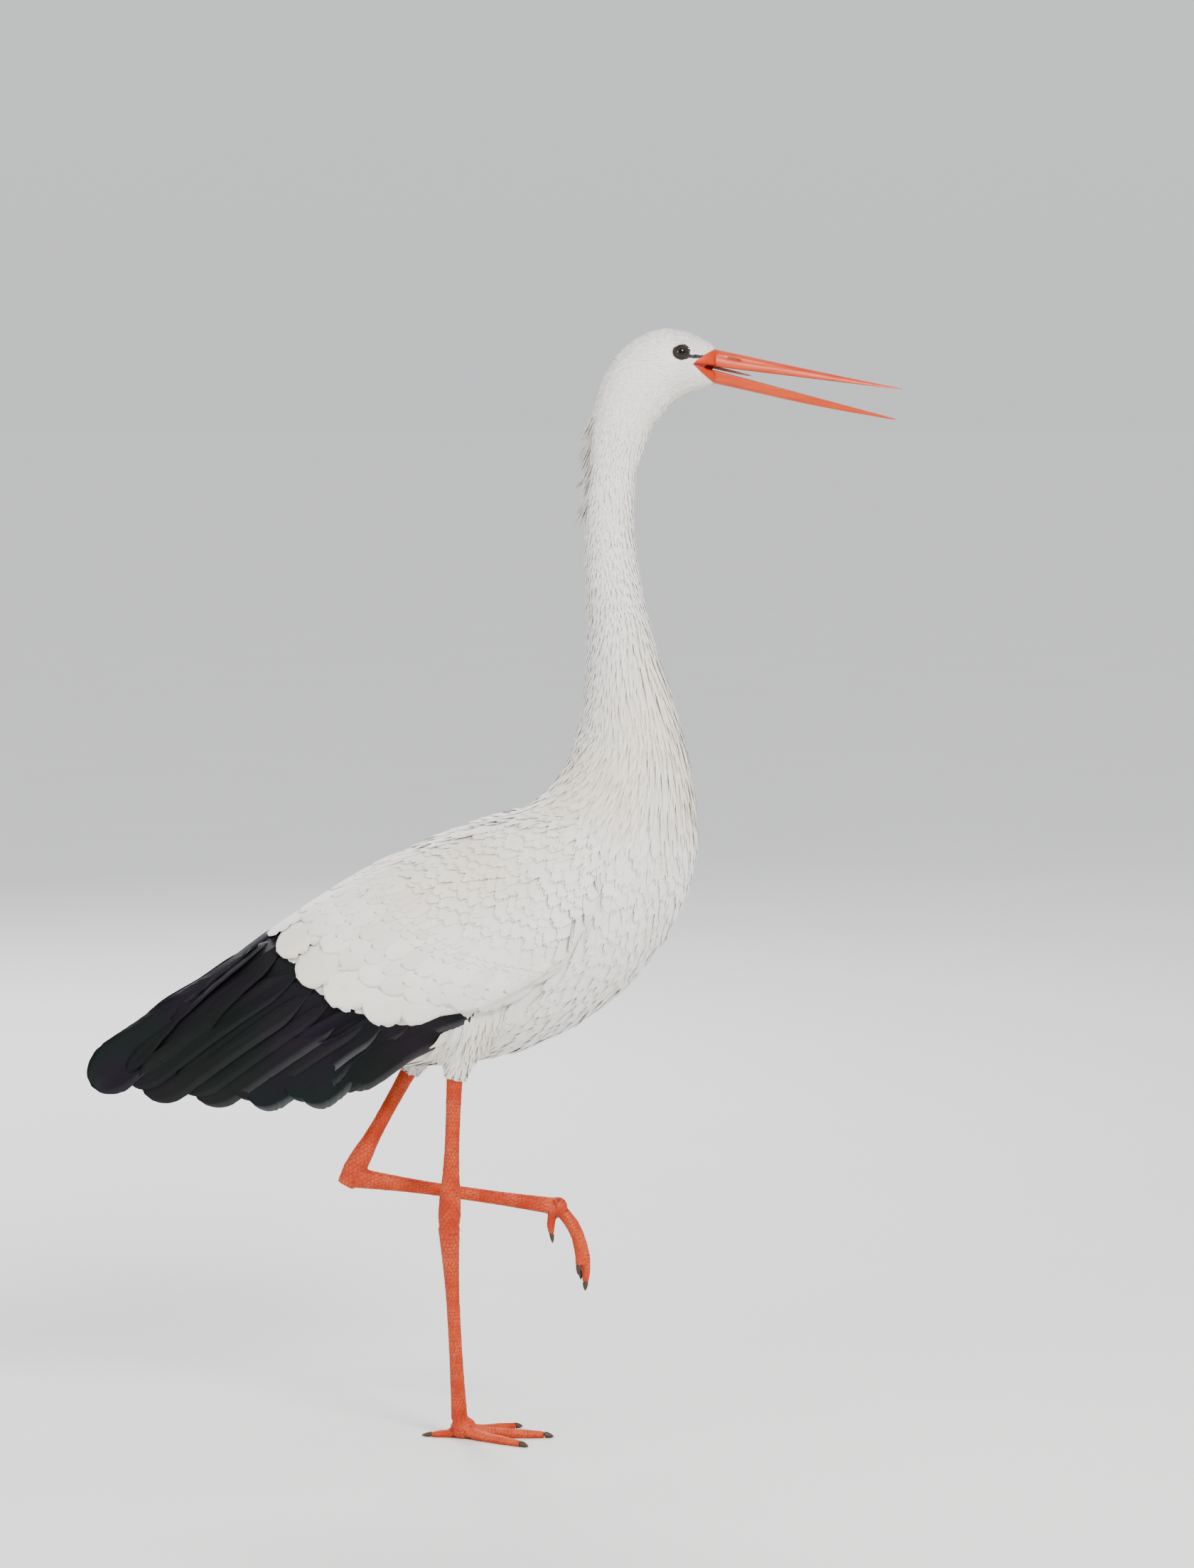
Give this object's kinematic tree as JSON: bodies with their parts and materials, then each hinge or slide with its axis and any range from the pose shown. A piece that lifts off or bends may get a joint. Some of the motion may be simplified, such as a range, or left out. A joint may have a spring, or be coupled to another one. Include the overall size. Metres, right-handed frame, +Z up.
{
  "type": "white stork",
  "caption": "Life-size adult white stork standing on its right leg, left leg drawn up, neck raised and bill a little open.",
  "frame": {"origin": "underside of the standing foot's ball, on the floor", "axes": "+X the way the bird faces, +Y its left side, +Z up"},
  "size_m": [0.7493, 0.1898, 1.0464],
  "materials": {
    "white_plumage": "matt contour feathers, white with a cream cast",
    "black_plumage": "black flight feathers with a faint green and purple gloss",
    "bill_horn": "smooth red horn",
    "leg_skin": "orange-red skin with small scales",
    "claw": "dull dark horn",
    "eye": "wet, dark brown",
    "tongue": "moist pink skin"
  },
  "bodies": {
    "root": {"head": "white_plumage", "neck_upper": "white_plumage", "neck_middle": "white_plumage", "neck_lower": "white_plumage", "trunk": "white_plumage", "tail": "white_plumage", "right_wing": "white_plumage", "left_wing": "white_plumage", "right_thigh": "white_plumage", "left_thigh": "white_plumage", "right_flight_feathers": "black_plumage", "left_flight_feathers": "black_plumage", "upper_bill": "bill_horn", "lower_bill": "bill_horn", "tongue": "tongue", "right_eye": "eye", "left_eye": "eye", "right_shank": "leg_skin", "right_tarsus": "leg_skin", "right_foot": "leg_skin", "right_toe_inner": "leg_skin", "right_toe_middle": "leg_skin", "right_toe_outer": "leg_skin", "right_toe_hind": "leg_skin", "right_claw_inner": "claw", "right_claw_middle": "claw", "right_claw_outer": "claw", "right_claw_hind": "claw", "left_shank": "leg_skin", "left_tarsus": "leg_skin", "left_foot": "leg_skin", "left_toe_inner": "leg_skin", "left_toe_middle": "leg_skin", "left_toe_outer": "leg_skin", "left_toe_hind": "leg_skin", "left_claw_inner": "claw", "left_claw_middle": "claw", "left_claw_outer": "claw", "left_claw_hind": "claw"}
  },
  "joints": []
}
